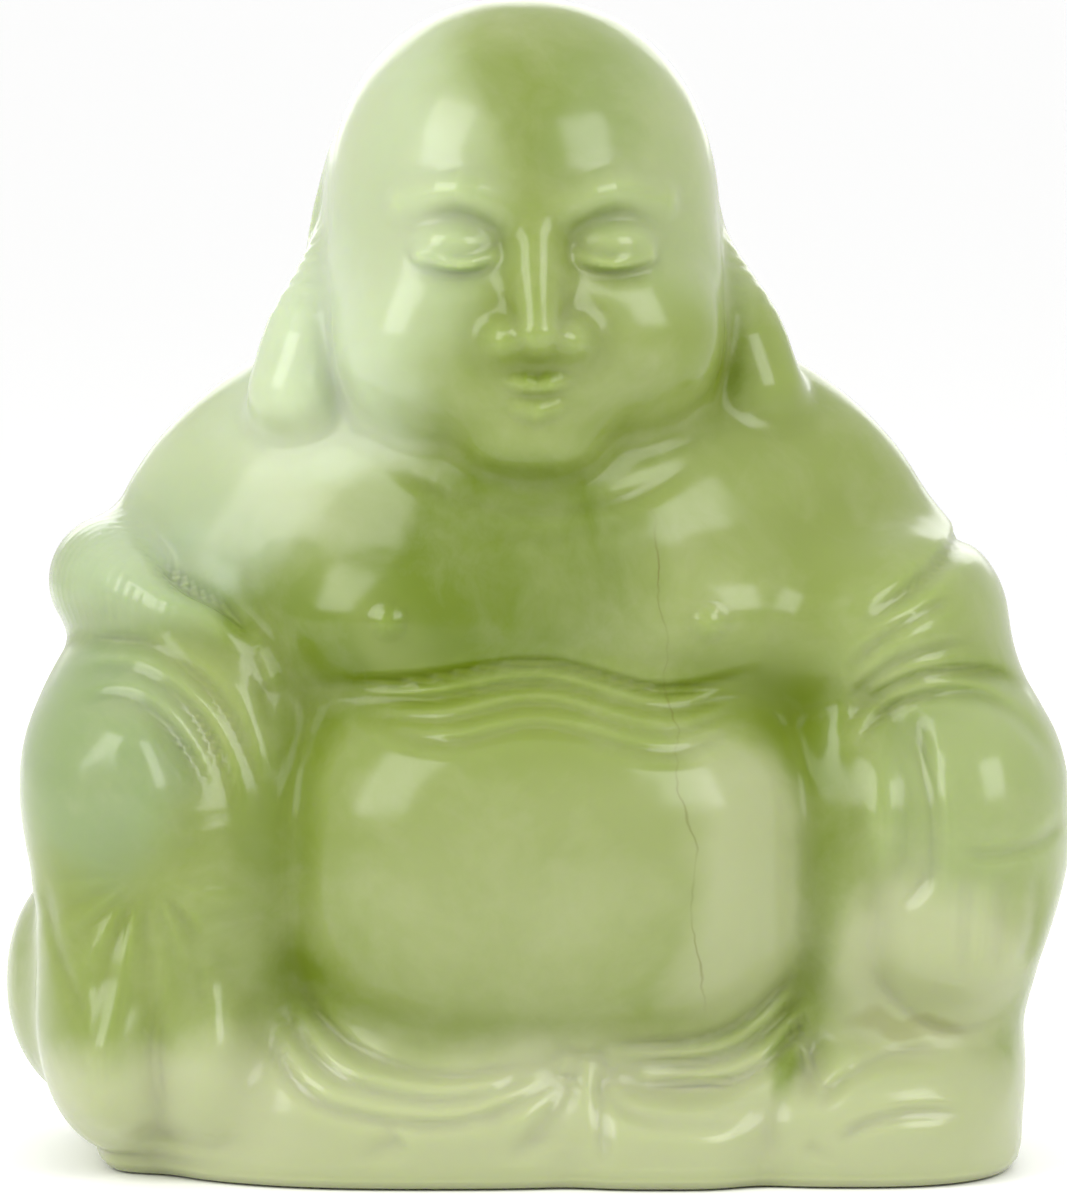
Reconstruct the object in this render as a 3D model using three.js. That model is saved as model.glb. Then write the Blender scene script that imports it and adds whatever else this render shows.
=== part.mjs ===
// A seated stout monk with long earlobes, carved from one block of pale green stone.
// Millimetres. +X is the viewer's right, the face looks along -Y, +Z is up.
// The carving rests on z = 0, with the middle of its width and depth over the origin.

import * as THREE from 'three'

// Driving sizes
const CROWN = 60 // height of the crown of the head
const HEAD_MIDDLE = [-1, 0] // the head sits a little to one side
const HEAD_TURN = 4 // degrees, toward the viewer's right
const RIM = 1.2 // rounding of the edge that the figure rests on
const FOLD_WIDTH = 0.8 // half width of the cut between two folds of cloth
const FOLD_DEPTH = 0.7
const SACK_GRIP = [-20.2, 15.2] // x and z of the place where the fist gathers the sack
const SACK_FOLDS = { count: 9, depth: 0.3, phase: 0.6, begins: 0.6, full: 3, fades: 7, ends: 12.5 }

// How softly masses melt into each other
const SOFT = { features: 0.6, limbs: 1.2, flesh: 2, trunk: 3.5 }

// The oval that the surface is laid out around, and how finely
const OVAL = { halfWidth: 25, halfDepth: 15, middleY: 0.6 }
const HEAD_OVAL = { halfWidth: 15, middleY: -0.6 }
const NECK = { low: 30, high: 42 } // between these heights the body's oval becomes the head's
const SHOULDER = 34 // below this height the rows are spaced for the body
const DOME = 50.3 // above this height the rows close over the crown
const ROWS = { rim: 2, body: 38, head: 20, dome: 7 }
const COLUMNS = 72
const FRONT_DENSITY = 2.6 // columns are this much closer together in front
const FRONT_EDGE = [-0.1, 0.6] // cosines of the turns between which that closeness fades in
const OUTSIDE = 24 // a ray starts this far out, clear of the stone
const STRIDE = 0.25
const HALVINGS = 12
const NUDGE = 0.04 // step used to feel the slope of a distance
const LONGEST_STEP = 0.6 // furthest that a point is moved at once
const FLATTEST = 0.3 // a slope is never taken as less than this
const SETTLING = { rounds: 24, pace: 0.5 }

// Each shape is a function of a point that gives the distance to its surface, negative inside.

const clamp01 = (t) => Math.min(Math.max(t, 0), 1)

function ease(from, to, value) {
  const t = clamp01((value - from) / (to - from))
  return t * t * (3 - 2 * t)
}

// an ellipsoid, squarer the higher the power
function ball(centre, radii, power = 2) {
  const tiny = 1e-6
  return (p) => {
    const ratios = p.map((v, i) => Math.abs(v - centre[i]) / radii[i])
    const reach = (ratios[0] ** power + ratios[1] ** power + ratios[2] ** power) ** (1 / power) + tiny
    const slope = Math.hypot(...ratios.map((ratio, i) => (ratio / reach) ** (power - 1) / radii[i]))
    return (reach - 1) / Math.max(slope, tiny)
  }
}

// a soft curve that passes through the given points, which may hold any number of values each
function curve(points, steps) {
  if (points.length === 2) return points
  const last = points.length - 1
  const beyond = (end, next) => end.map((v, i) => 2 * v - next[i])
  const row = [beyond(points[0], points[1]), ...points, beyond(points[last], points[last - 1])]
  const out = []
  for (let i = 1; i <= last; i++) {
    const [a, b, c, d] = row.slice(i - 1, i + 3)
    for (let k = 0; k < steps; k++) {
      const t = k / steps
      out.push(b.map((v, j) => v + 0.5 * ((c[j] - a[j]) * t
        + (2 * a[j] - 5 * v + 4 * c[j] - d[j]) * t ** 2
        + (3 * v - a[j] - 3 * c[j] + d[j]) * t ** 3)))
    }
  }
  return [...out, points[last]]
}

// a round bar swept through points of x, y, z and radius
function bar(points) {
  const path = curve(points, 3)
  const pieces = path.slice(1).map((end, i) => {
    const run = end.map((v, k) => v - path[i][k])
    return { from: path[i], run, length2: run[0] ** 2 + run[1] ** 2 + run[2] ** 2 }
  })
  return ([x, y, z]) => {
    let nearest = Infinity
    for (const { from, run, length2 } of pieces) {
      const [dx, dy, dz] = [x - from[0], y - from[1], z - from[2]]
      const t = clamp01((dx * run[0] + dy * run[1] + dz * run[2]) / length2)
      const gap = Math.sqrt((dx - t * run[0]) ** 2 + (dy - t * run[1]) ** 2 + (dz - t * run[2]) ** 2)
      nearest = Math.min(nearest, gap - from[3] - t * run[3])
    }
    return nearest
  }
}

// the smaller of two distances, rounded where they are nearly equal
function blend(a, b, softness) {
  const overlap = Math.max(softness - Math.abs(a - b), 0) / softness
  return Math.min(a, b) - overlap * overlap * softness * 0.25
}

const join = (softness, ...shapes) => (p) => shapes
  .map((shape) => shape(p))
  .reduce((a, b) => blend(a, b, softness))

const cut = (softness, body, tool) => (p) => -blend(-body(p), tool(p), softness)

const bothSides = (shape) => ([x, y, z]) => shape([Math.abs(x), y, z])

// A stroke is 0 to 1, strongest on a path of x, z points drawn on the front of the figure.
// It fades out behind y = backLimit.
function stroke(points, width = FOLD_WIDTH, backLimit = 2) {
  const fadeLength = 3
  const path = bar(points.map(([x, z]) => [x, 0, z, 0]))
  return ([x, y, z]) => {
    const strength = Math.exp(-((path([x, 0, z]) / width) ** 2))
    return strength * ease(backLimit + fadeLength, backLimit, y)
  }
}

// several strokes spread evenly between a first and a last one
function fan(count, first, last) {
  const strokes = Array.from({ length: count }, (_, i) => {
    const t = i / (count - 1)
    return stroke(first.map((place, k) => place.map((v, j) => THREE.MathUtils.lerp(v, last[k][j], t))))
  })
  return (p) => Math.max(...strokes.map((line) => line(p)))
}

// The head
function head() {
  const skull = ball([0, -0.8, 48.7], [10.1, 10.6, CROWN - 48.7], 2.2)
  const jowls = ball([0, -2.6, 42.2], [10.3, 8.8, 7.2], 2.3)
  const cheeks = bothSides(ball([5.2, -7.6, 42.6], [4.1, 3.8, 3.8]))
  const mouth = ball([0, -10.2, 40], [3.8, 1.6, 2.2])
  const chin = ball([0, -9.6, 37.4], [3, 2.2, 1.6])
  const sockets = bothSides(ball([3.9, -12.9, 47.9], [2.8, 2.5, 1.7]))
  const brows = bothSides(bar([[1.3, -10.6, 50, 0.8], [3.6, -10.4, 50.8, 0.8], [6, -8.8, 50.2, 0.6]]))
  const lids = bothSides(ball([3.9, -9.5, 47.5], [2.3, 1.7, 1.5]))
  const bridge = bar([[0, -10.6, 49, 1], [0, -11.6, 46.2, 1.1], [0, -12.6, 43.6, 1.4]])
  const nostrils = bothSides(ball([1.5, -11.7, 43], [1.2, 1.3, 1.1]))
  const upperLip = bar([[-2.9, -10.3, 41.3, 0.6], [0, -11.3, 40.8, 0.7], [2.9, -10.3, 41.3, 0.6]])
  const lowerLip = bar([[-2.2, -10.4, 39.9, 0.6], [0, -11, 39.3, 0.8], [2.2, -10.4, 39.9, 0.6]])
  const full = join(SOFT.flesh, join(SOFT.trunk, skull, jowls), cheeks, mouth, chin)
  const browed = join(SOFT.flesh, cut(SOFT.flesh, full, sockets), brows)
  return join(SOFT.features, browed, join(SOFT.features, bridge, nostrils), lids, upperLip, lowerLip)
}

// a flat ear with a rolled edge, and the long lobe that reaches the shoulder
function ears() {
  const flat = ball([8.3, 0.6, 48], [1.9, 3.4, 4.8])
  const edge = bar([
    [8.8, -1.7, 46.4, 0.8], [8.6, -1.7, 50, 0.8], [9, 1.2, 51.8, 0.8], [9.8, 2.5, 47.6, 1]])
  const lobe = bar([
    [9.1, 0.4, 47, 1.7], [9.9, -1.2, 45, 2.2], [10.8, -2.8, 42.6, 2.6], [11.7, -3.9, 39.9, 2.6]])
  const neck = ball([8.8, 0.6, 41], [4.2, 5.2, 5.4])
  return bothSides(join(SOFT.limbs, flat, edge, lobe, neck))
}

// turns a shape made about the z axis to where the head sits
function onNeck(shape) {
  const turn = THREE.MathUtils.degToRad(HEAD_TURN)
  return ([x, y, z]) => {
    const across = x - HEAD_MIDDLE[0]
    return shape([
      Math.cos(turn) * across + Math.sin(turn) * y,
      Math.cos(turn) * y - Math.sin(turn) * across,
      z])
  }
}

// The body
function torso() {
  const back = ball([0, 2.6, 17], [20.5, 12.4, 24])
  const shoulders = ball([-0.8, 1.6, 29.2], [22.1, 11.6, 15.6])
  const chest = ball([0.3, -2.6, 28.5], [15.4, 9, 11.5])
  const breastbone = 0.4
  const pair = (out, y, radii) => [-1, 1].map((side) => ball([breastbone + side * out, y, 28.6], radii))
  const trunk = join(SOFT.trunk, back, shoulders, chest)
  const breasted = join(SOFT.flesh, trunk, ...pair(7.6, -5.2, [7.4, 6.8, 4.8]))
  return join(SOFT.features, breasted, ...pair(8.1, -11.4, [1, 1, 1]))
}

const belly = () => ball([0.4, -5.4, 16], [14.2, 11, 10.3], 2.6)

function leftArm() {
  const sleeve = ball([-18.4, -1.2, 24], [6.6, 10, 6.4])
  const robe = ball([-15.4, -4.6, 17.5], [4.2, 7.8, 11], 2.2)
  const fist = ball([-21, -4.6, 19.6], [5.8, 9, 7.2], 2.2)
  const knuckles = bar([[-20.6, -12, 22, 1.1], [-19.4, -12.5, 19, 1.3], [-19, -12, 16.2, 1.2]])
  return join(SOFT.flesh, sleeve, robe, fist, knuckles)
}

function rightArm() {
  const sleeve = ball([17.2, -1.2, 27.4], [7.1, 10.2, 6], 2.2)
  const robe = ball([15.8, -4.4, 16.5], [3.8, 8, 11], 2.2)
  const forearm = ball([21.6, -4.2, 17.9], [5.7, 9.6, 7.8], 2.3)
  const thumb = ball([17.4, -5.6, 18.2], [2.8, 7.8, 5.8], 2.1)
  const fingers = ball([20.6, -4.2, 13.2], [5.5, 9.4, 5.7], 2.3)
  return join(SOFT.limbs, join(SOFT.flesh, sleeve, forearm), robe, thumb, fingers)
}

// the robe has slipped off both shoulders and is rolled around the arms and across the back
const robeRoll = () => bar([
  [-14.4, -9, 26.2, 1], [-16.8, -8.4, 28.2, 1.6], [-19.2, -7.2, 29, 2.1], [-21.4, -4.8, 29.7, 2.7],
  [-22, -1.8, 29.9, 3.3], [-21.8, 1.6, 29.7, 3.4], [-19.2, 5.8, 29.4, 3], [-15, 9.6, 28.6, 2.7],
  [-8, 12.4, 27.2, 2.5], [0, 13.2, 26.4, 2.4], [8, 12.4, 27, 2.5], [15, 9.4, 28.2, 2.8], [18, 5.2, 28.4, 3]])

// crossed legs under the robe: a shin on the viewer's left, a hanging flap, a foot and the hem beside it
function lap() {
  const crossedLegs = ball([0.6, 0.2, 3.6], [22.8, 12.8, 8.6], 2.9)
  const foot = ball([15.9, -3.6, 2.4], [9, 11, 5.8], 2.6)
  const shin = ball([-5.4, -6.8, 2.4], [13.6, 8.5, 6], 2.5)
  const flap = ball([6.4, -9.2, 1.4], [5, 6.2, 3.3], 3.2)
  const hem = ball([19.8, -1.4, 7.2], [5.2, 9.2, 5], 2.6)
  const hollow = ball([13.6, -14.5, 7], [1, 3.4, 2])
  return cut(SOFT.limbs, join(SOFT.flesh, crossedLegs, foot, shin, flap, hem), hollow)
}

// a cloth sack under the left fist, with folds that spread from the grip
function sack() {
  const bag = ball([-19.8, -5.2, 9], [6.2, 8.4, 8.4], 2.5)
  const lobes = [-21.6, -16.9].map((x) => ball([x, -9.6, 6.2], [2.7, 4.9, 4.4], 2.2))
  const full = join(SOFT.limbs, bag, ...lobes)
  const behind = ball([-20.8, 3, 8.6], [7.2, 9.2, 7.2], 2.2)
  const { count, depth, phase, begins, full: grown, fades, ends } = SACK_FOLDS
  const folded = (p) => {
    const across = p[0] - SACK_GRIP[0]
    const down = SACK_GRIP[1] - p[2]
    const reach = Math.hypot(across, down)
    const wave = Math.cos(Math.atan2(across, down) * count + phase)
    const front = ease(2, -2, p[1])
    return full(p) + depth * wave * front * ease(begins, grown, reach) * ease(ends, fades, reach)
  }
  return join(SOFT.flesh, folded, behind)
}

// The lines cut into the finished form
function frontLines() {
  const underBreasts = fan(2, [[-11.7, 24.8], [-6.7, 23.4], [0, 25], [7.2, 23.4], [12, 24.4]],
    [[-12, 26.8], [-6.7, 25.4], [0, 27], [7.2, 25.4], [12, 26.6]])
  const leftSleeve = fan(2, [[-23.9, 26.4], [-17.5, 25.4], [-14.4, 20.2]],
    [[-23.6, 24.2], [-18.2, 22.8], [-16.2, 18]])
  const rightSleeve = fan(3, [[20.6, 31], [18.2, 29.6], [16.4, 27.6], [15, 25]],
    [[24.8, 24.4], [20, 25.6], [17, 24.2], [15, 21.6]])
  const leftWaist = fan(2, [[-12.9, 12.4], [-11, 8.6], [-6.6, 6.4], [-2, 5.9], [1.4, 6.9]],
    [[-13.6, 10], [-11.6, 6.2], [-7.4, 4], [-2.6, 4], [1.2, 6.2]])
  const rightWaist = fan(2, [[2.6, 6.9], [8, 7], [11.4, 8.7], [13.4, 11.3]],
    [[2.6, 5.2], [8.6, 4.8], [12.2, 6.2], [14, 9]])
  const skirtEdge = stroke([[2, 6.2], [1.8, 3], [1.4, -0.5]])
  const skirtFold = stroke([[1.2, 5], [-0.6, 3], [-3.4, 0.2]])
  const shinFold = stroke([[-6.2, 3.2], [-8, 2], [-10.4, 0.6]])
  const thumbEdge = stroke([[19.2, 24], [19.6, 20.5], [19.8, 17.8], [18.2, 14]])
  const handEdge = stroke([[15.4, 13.8], [17.6, 9.6], [19.8, 8], [22.4, 7.8], [25.4, 8.6]])
  const fingers = fan(3, [[20.4, 16.6], [19.9, 12.4], [20.3, 8.6]], [[25, 16.8], [24.4, 12.4], [24, 8.4]])
  const toes = fan(2, [[14.8, 4.4], [17.4, 5.8], [21.6, 6]], [[15.2, 1.6], [17.8, 3], [21.8, 3.4]])
  return [underBreasts, leftSleeve, rightSleeve, leftWaist, rightWaist, skirtEdge, skirtFold, shinFold,
    thumbEdge, handEdge, fingers, toes]
}

// soft hanging folds and a hem line on the back of the robe
function backLines() {
  const hanging = [[2, 3.4], [7.2, 9.4], [12.4, 15.8]].map(([top, bottom]) => {
    const middle = (top + bottom) / 2 - 0.4
    return bothSides(stroke([[top, 24.4], [middle, 16], [bottom, 5]], FOLD_WIDTH, -3))
  })
  const hem = stroke([[-22, 3.6], [-10, 2.7], [0, 3.2], [10, 2.7], [22, 3.4]], FOLD_WIDTH, -1)
  return [...hanging, hem].map((line) => ([x, y, z]) => line([x, -y, z]))
}

function blockedOut() {
  const holding = join(SOFT.trunk, leftArm(), sack())
  const body = join(SOFT.flesh, torso(), belly(), lap(), holding, rightArm())
  const dressed = join(SOFT.flesh, body, robeRoll())
  return join(SOFT.limbs, dressed, onNeck(join(SOFT.features, head(), ears())))
}

function carved(form) {
  const lines = [...frontLines(), ...backLines()]
  return (p) => form(p) + FOLD_DEPTH * lines.reduce((sum, line) => sum + line(p), 0)
}

// The surface is a net of points, found along rays that leave an oval's long axis at right angles to
// the oval. The net then slides along the form until it is even.

// turns spread evenly along the oval, closer together in front
function columnTurns() {
  const fine = 4000
  const turn = (i) => -Math.PI + (2 * Math.PI * i) / fine
  const pace = (t) => Math.hypot(OVAL.halfWidth * Math.cos(t), OVAL.halfDepth * Math.sin(t))
    * (1 + (FRONT_DENSITY - 1) * ease(...FRONT_EDGE, Math.cos(t)))
  const run = [0]
  for (let i = 1; i <= fine; i++) run.push(run[i - 1] + pace(turn(i - 0.5)))
  const out = []
  for (let column = 0, i = 0; column < COLUMNS; column++) {
    while (run[i + 1] < (run[fine] * column) / COLUMNS) i++
    out.push(turn(i))
  }
  return out
}

function rowPlaces() {
  const spread = (count, from, to) => Array.from(
    { length: count },
    (_, i) => THREE.MathUtils.lerp(from, to, i / count))
  const body = spread(ROWS.body, RIM, SHOULDER).map((z) => ({ z, rise: 0 }))
  const neckUp = spread(ROWS.head, SHOULDER, DOME).map((z) => ({ z, rise: 0 }))
  const dome = spread(ROWS.dome, 0, Math.PI / 2).map((rise) => ({ z: DOME, rise }))
  return [...body, ...neckUp, ...dome]
}

function ray(turn, { z, rise }) {
  const slim = ease(NECK.low, NECK.high, z)
  const halfWidth = THREE.MathUtils.lerp(OVAL.halfWidth, HEAD_OVAL.halfWidth, slim)
  const foot = (halfWidth ** 2 - OVAL.halfDepth ** 2) / halfWidth
  const middleY = THREE.MathUtils.lerp(OVAL.middleY, HEAD_OVAL.middleY, slim)
  const start = [HEAD_MIDDLE[0] * slim + foot * Math.sin(turn), middleY, z]
  const across = [OVAL.halfDepth / halfWidth * Math.sin(turn), -Math.cos(turn)]
  const level = Math.cos(rise) / Math.hypot(...across)
  return { start, way: [across[0] * level, across[1] * level, Math.sin(rise)] }
}

// walks in from outside to the first crossing, then halves the last step
function surfacePoint(shape, { start, way }) {
  const at = (s) => start.map((v, i) => v + way[i] * s)
  let inside = OUTSIDE
  for (let gap = shape(at(inside)); gap > 0 && inside > STRIDE; gap = shape(at(inside))) {
    inside -= Math.max(STRIDE, gap * 0.5)
  }
  let outside = inside + STRIDE
  while (shape(at(outside)) < 0) outside += STRIDE
  for (let i = 0; i < HALVINGS; i++) {
    const middle = (inside + outside) / 2
    if (shape(at(middle)) > 0) outside = middle
    else inside = middle
  }
  return at(inside)
}

const dot = (u, v) => u[0] * v[0] + u[1] * v[1] + u[2] * v[2]

// the direction in which the distance grows, and how fast
function slope(shape, p, here) {
  return p.map((_, i) => (shape(p.map((v, k) => (k === i ? v + NUDGE : v))) - here) / NUDGE)
}

function backOnto(shape, p) {
  const here = shape(p)
  const way = slope(shape, p, here)
  const full = here / Math.max(dot(way, way), FLATTEST)
  const step = THREE.MathUtils.clamp(full, -LONGEST_STEP, LONGEST_STEP)
  return p.map((v, i) => v - step * way[i])
}

// the place that a point is drawn to by its four neighbours, measured along the surface
function slide(shape, p, neighbours) {
  const way = slope(shape, p, shape(p))
  const middle = (i) => neighbours.reduce((sum, q) => sum + q[i], 0) / neighbours.length
  const pull = p.map((v, i) => SETTLING.pace * (middle(i) - v))
  const lift = dot(pull, way) / Math.max(dot(way, way), FLATTEST)
  return backOnto(shape, p.map((v, i) => v + pull[i] - lift * way[i]))
}

// every row above the rim moves, and the last one is drawn to the crown
function settle(rows, shape) {
  const crown = rows[0].map(() => [...HEAD_MIDDLE, CROWN])
  let now = rows
  for (let round = 0; round < SETTLING.rounds; round++) {
    now = now.map((row, r) => (r <= ROWS.rim ? row : row.map((p, column) => slide(shape, p, [
      row[(column + 1) % COLUMNS],
      row[(column + COLUMNS - 1) % COLUMNS],
      now[r - 1][column],
      (now[r + 1] ?? crown)[column]]))))
  }
  return now
}

// the quarter round below the lowest row
function rimRows(lowest, turns) {
  return Array.from({ length: ROWS.rim }, (_, i) => {
    const angle = (Math.PI / 2) * (1 - i / ROWS.rim)
    const inward = RIM * (1 - Math.cos(angle))
    return lowest.map(([x, y], column) => {
      const { way } = ray(turns[column], { z: RIM, rise: 0 })
      return [x - way[0] * inward, y - way[1] * inward, RIM * (1 - Math.sin(angle))]
    })
  })
}

// the net is evened out on the plain form first, and only then pressed onto the cut lines
function surfaceRows() {
  const form = blockedOut()
  const withLines = carved(form)
  const turns = columnTurns()
  const rows = rowPlaces().map((place) => turns.map((turn) => surfacePoint(form, ray(turn, place))))
  const even = settle([...rimRows(rows[0], turns), ...rows], form)
  const press = (p) => backOnto(withLines, backOnto(withLines, p))
  return even.map((row, r) => (r <= ROWS.rim ? row : row.map(press)))
}

function skin(rows) {
  const last = rows.length - 1
  const index = (row, column) => row * COLUMNS + (column % COLUMNS)
  const underIndex = rows.length * COLUMNS
  const crownIndex = underIndex + 1
  const faces = []
  for (let column = 0; column < COLUMNS; column++) {
    faces.push(underIndex, index(0, column + 1), index(0, column))
    faces.push(crownIndex, index(last, column), index(last, column + 1))
    for (let row = 0; row < last; row++) {
      const [a, b] = [index(row, column), index(row, column + 1)]
      const [c, d] = [index(row + 1, column + 1), index(row + 1, column)]
      faces.push(a, b, c, a, c, d)
    }
  }
  const ends = [[0, 0, 0], [...HEAD_MIDDLE, CROWN]]
  const geometry = new THREE.BufferGeometry()
  geometry.setAttribute('position', new THREE.Float32BufferAttribute([...rows.flat(), ...ends].flat(), 3))
  geometry.setIndex(faces)
  return geometry
}

// moves the figure until the middle of its width and depth is over the origin
function centred(geometry) {
  geometry.computeBoundingBox()
  const middle = geometry.boundingBox.getCenter(new THREE.Vector3())
  geometry.translate(-middle.x, -middle.y, 0)
  geometry.computeVertexNormals()
  return geometry
}

const greenStone = new THREE.MeshStandardMaterial({ name: 'green_stone', color: 0xb4c58a, roughness: 0.3 })
const carving = new THREE.Mesh(centred(skin(surfaceRows())), greenStone)
carving.name = 'buddha_carving'

const group = new THREE.Group()
group.name = 'stone_buddha'
group.add(carving)

export default group
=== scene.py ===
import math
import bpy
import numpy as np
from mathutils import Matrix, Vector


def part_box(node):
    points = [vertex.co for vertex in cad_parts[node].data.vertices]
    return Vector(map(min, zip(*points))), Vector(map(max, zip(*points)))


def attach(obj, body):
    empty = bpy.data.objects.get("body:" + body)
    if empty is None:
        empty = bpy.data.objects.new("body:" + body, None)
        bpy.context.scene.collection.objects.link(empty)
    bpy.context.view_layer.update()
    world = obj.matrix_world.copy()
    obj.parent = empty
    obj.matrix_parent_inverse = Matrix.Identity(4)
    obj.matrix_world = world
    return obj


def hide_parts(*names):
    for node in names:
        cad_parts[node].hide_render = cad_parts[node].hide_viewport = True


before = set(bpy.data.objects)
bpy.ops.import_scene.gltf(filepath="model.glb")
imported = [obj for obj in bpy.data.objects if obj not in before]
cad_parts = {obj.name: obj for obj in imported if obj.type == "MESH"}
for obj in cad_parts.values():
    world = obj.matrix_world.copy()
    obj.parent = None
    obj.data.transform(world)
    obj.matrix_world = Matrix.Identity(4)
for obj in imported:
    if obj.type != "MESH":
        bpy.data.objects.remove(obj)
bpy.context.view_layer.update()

# %% [markdown]
# # A seated monk carved from pale green stone
#
# The object is a small seated figure, cut from one block of translucent green stone and polished.
# It is one piece, so the whole lesson is about one surface and one material.
# The surface is not drawn face by face. It is described as a solid made of soft balls and bars that
# melt into each other, the way a carver first blocks out round masses and then cuts lines between them.
# Once the solid is described, a net of points is laid over it from outside, as a skin.

MM = 0.001
CARVING = "buddha_carving"
low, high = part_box(CARVING)
print("solid, mm:", [round((b - a) / MM, 1) for a, b in zip(low, high)])

# %% [markdown]
# ## The camera
#
# The figure is seen from straight in front and a few degrees above, through a long lens, so its
# sides hardly converge. A long lens far away keeps the proportions of the carving true.
# The lens is worked out from the picture's height, so that the figure fills the frame.

# %% A long lens, straight in front and slightly above
PICTURE = (1067, 1200)
CAMERA_DISTANCE = 0.42
CAMERA_RISE = math.radians(4.5)
LOOK_AT = (0.0, 0.0, 0.030)
PIXELS_PER_METRE = 19250
SENSOR = 36.0
RAISE_PIXELS = 23


def make_camera():
    """Puts the camera on an arc around LOOK_AT, CAMERA_RISE above the horizon.

    The visible height there is the picture's height over PIXELS_PER_METRE, so the lens is
    sensor times distance over that height.
    """
    data = bpy.data.cameras.new("camera")
    visible_height = PICTURE[1] / PIXELS_PER_METRE
    data.sensor_fit = "VERTICAL"
    data.sensor_height = SENSOR
    data.lens = SENSOR * CAMERA_DISTANCE / visible_height
    data.shift_y = -RAISE_PIXELS / PICTURE[1]
    camera = bpy.data.objects.new("camera", data)
    bpy.context.collection.objects.link(camera)
    camera.location = (
        LOOK_AT[0],
        LOOK_AT[1] - CAMERA_DISTANCE * math.cos(CAMERA_RISE),
        LOOK_AT[2] + CAMERA_DISTANCE * math.sin(CAMERA_RISE),
    )
    camera.rotation_euler = (math.pi / 2 - CAMERA_RISE, 0, 0)
    bpy.context.scene.camera = camera
    return camera


camera = make_camera()
print("lens, mm:", round(camera.data.lens, 1))

# %% [markdown]
# ## The light
#
# Polished stone shows its shape by the soft boxes mirrored in it: a large one high on the left, a
# squarer one high on the right, and a white room all around. Area lights make such reflections,
# and a pale world fills the shadows. A translucent stone also needs light from behind and above,
# which shines through the thin edges.

# %% Soft boxes, a white room and a pale floor
LIGHTS = [
    # name, place in mm, width and height in mm, watts
    ("left_box", (-245, -215, 230), (190, 290), 0.80),
    ("right_box", (185, -235, 205), (160, 190), 0.46),
    ("back_box", (0, 300, 140), (300, 160), 0.20),
]
ROOM_WHITE = (1.0, 1.0, 1.0)
ROOM_STRENGTH = 1.0
FLOOR_WHITE = (0.98, 0.98, 0.975)
FLOOR_ROUGHNESS = 0.6
FLOOR_SIZE = 80.0


def aim(thing, target):
    """Turns an object so that its -Z axis points from its place to the target."""
    way = np.array(target) - np.array(thing.location)
    flat = math.hypot(way[0], way[1])
    thing.rotation_euler = (math.atan2(flat, -way[2]), 0, math.atan2(way[1], way[0]) - math.pi / 2)


def make_light(name, place, size, watts):
    """A rectangular soft box that looks at the middle of the figure."""
    data = bpy.data.lights.new(name, "AREA")
    data.shape = "RECTANGLE"
    data.size = size[0] * MM
    data.size_y = size[1] * MM
    data.energy = watts
    light = bpy.data.objects.new(name, data)
    bpy.context.collection.objects.link(light)
    light.location = [v * MM for v in place]
    aim(light, LOOK_AT)
    return light


def make_room():
    """A plain white world and a wide floor that stands under the figure."""
    world = bpy.data.worlds.new("white_room")
    world.use_nodes = True
    background = world.node_tree.nodes["Background"]
    background.inputs["Color"].default_value = (*ROOM_WHITE, 1)
    background.inputs["Strength"].default_value = ROOM_STRENGTH
    bpy.context.scene.world = world
    mesh = bpy.data.meshes.new("floor")
    half = FLOOR_SIZE / 2
    corners = [(-half, -half, 0), (half, -half, 0), (half, half, 0), (-half, half, 0)]
    mesh.from_pydata(corners, [], [(0, 1, 2, 3)])
    floor = bpy.data.objects.new("floor", mesh)
    bpy.context.collection.objects.link(floor)
    paint = bpy.data.materials.new("floor_white")
    paint.use_nodes = True
    shader = paint.node_tree.nodes["Principled BSDF"]
    shader.inputs["Base Color"].default_value = (*FLOOR_WHITE, 1)
    shader.inputs["Roughness"].default_value = FLOOR_ROUGHNESS
    mesh.materials.append(paint)
    return floor


lights = [make_light(*row) for row in LIGHTS]
floor = make_room()
bpy.context.scene.view_settings.view_transform = "Standard"
print("lights:", [light.name for light in lights])

# %% [markdown]
# ## Soft shapes
#
# A shape here is a function: it takes points as rows of x, y, z in millimetres and answers how far
# each one lies from the shape's surface, negative inside. Two such functions join by taking the
# smaller distance, and a little softness around the seam rounds the crease between them. This suits
# a carving better than separate spheres and tubes would, because stone has no seams: an arm that
# lies on a belly meets it in one smooth groove.

# %% Balls, bars and how they join
FAR = 6.0


def ball(centre, radii, power=2.0):
    """An ellipsoid, squarer the higher the power.

    With a = |p - centre| / radii, the reach is (a1^n + a2^n + a3^n)^(1/n), which is 1 on the
    surface. The distance is (reach - 1) over the length of the reach's slope.
    """
    centre = np.array(centre, np.float32)
    radii = np.array(radii, np.float32)

    def distance(p):
        a = np.abs(p - centre) / radii
        reach = (a ** power).sum(1) ** (1 / power) + 1e-6
        slope = np.sqrt((((a / reach[:, None]) ** (power - 1) / radii) ** 2).sum(1))
        return (reach - 1) / np.maximum(slope, 1e-6)

    return distance


def curve(points, steps=3):
    """A Catmull-Rom curve: between b and c it is b + (c-a)t/2 + ... , so it passes every point."""
    points = np.array(points, float)
    if len(points) == 2:
        return points
    row = np.vstack([2 * points[0] - points[1], points, 2 * points[-1] - points[-2]])
    t = np.linspace(0, 1, steps, endpoint=False)[:, None]
    spans = [
        0.5 * (2 * b + (c - a) * t + (2 * a - 5 * b + 4 * c - d) * t ** 2 + (3 * b - a - 3 * c + d) * t ** 3)
        for a, b, c, d in zip(row[:-3], row[1:-2], row[2:-1], row[3:])
    ]
    return np.vstack([*spans, points[-1:]])


def inside_box(p, rows, margin):
    """Which points lie within the margin of the box around the rows."""
    return ((p > rows.min(0) - margin) & (p < rows.max(0) + margin)).all(1)


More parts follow.
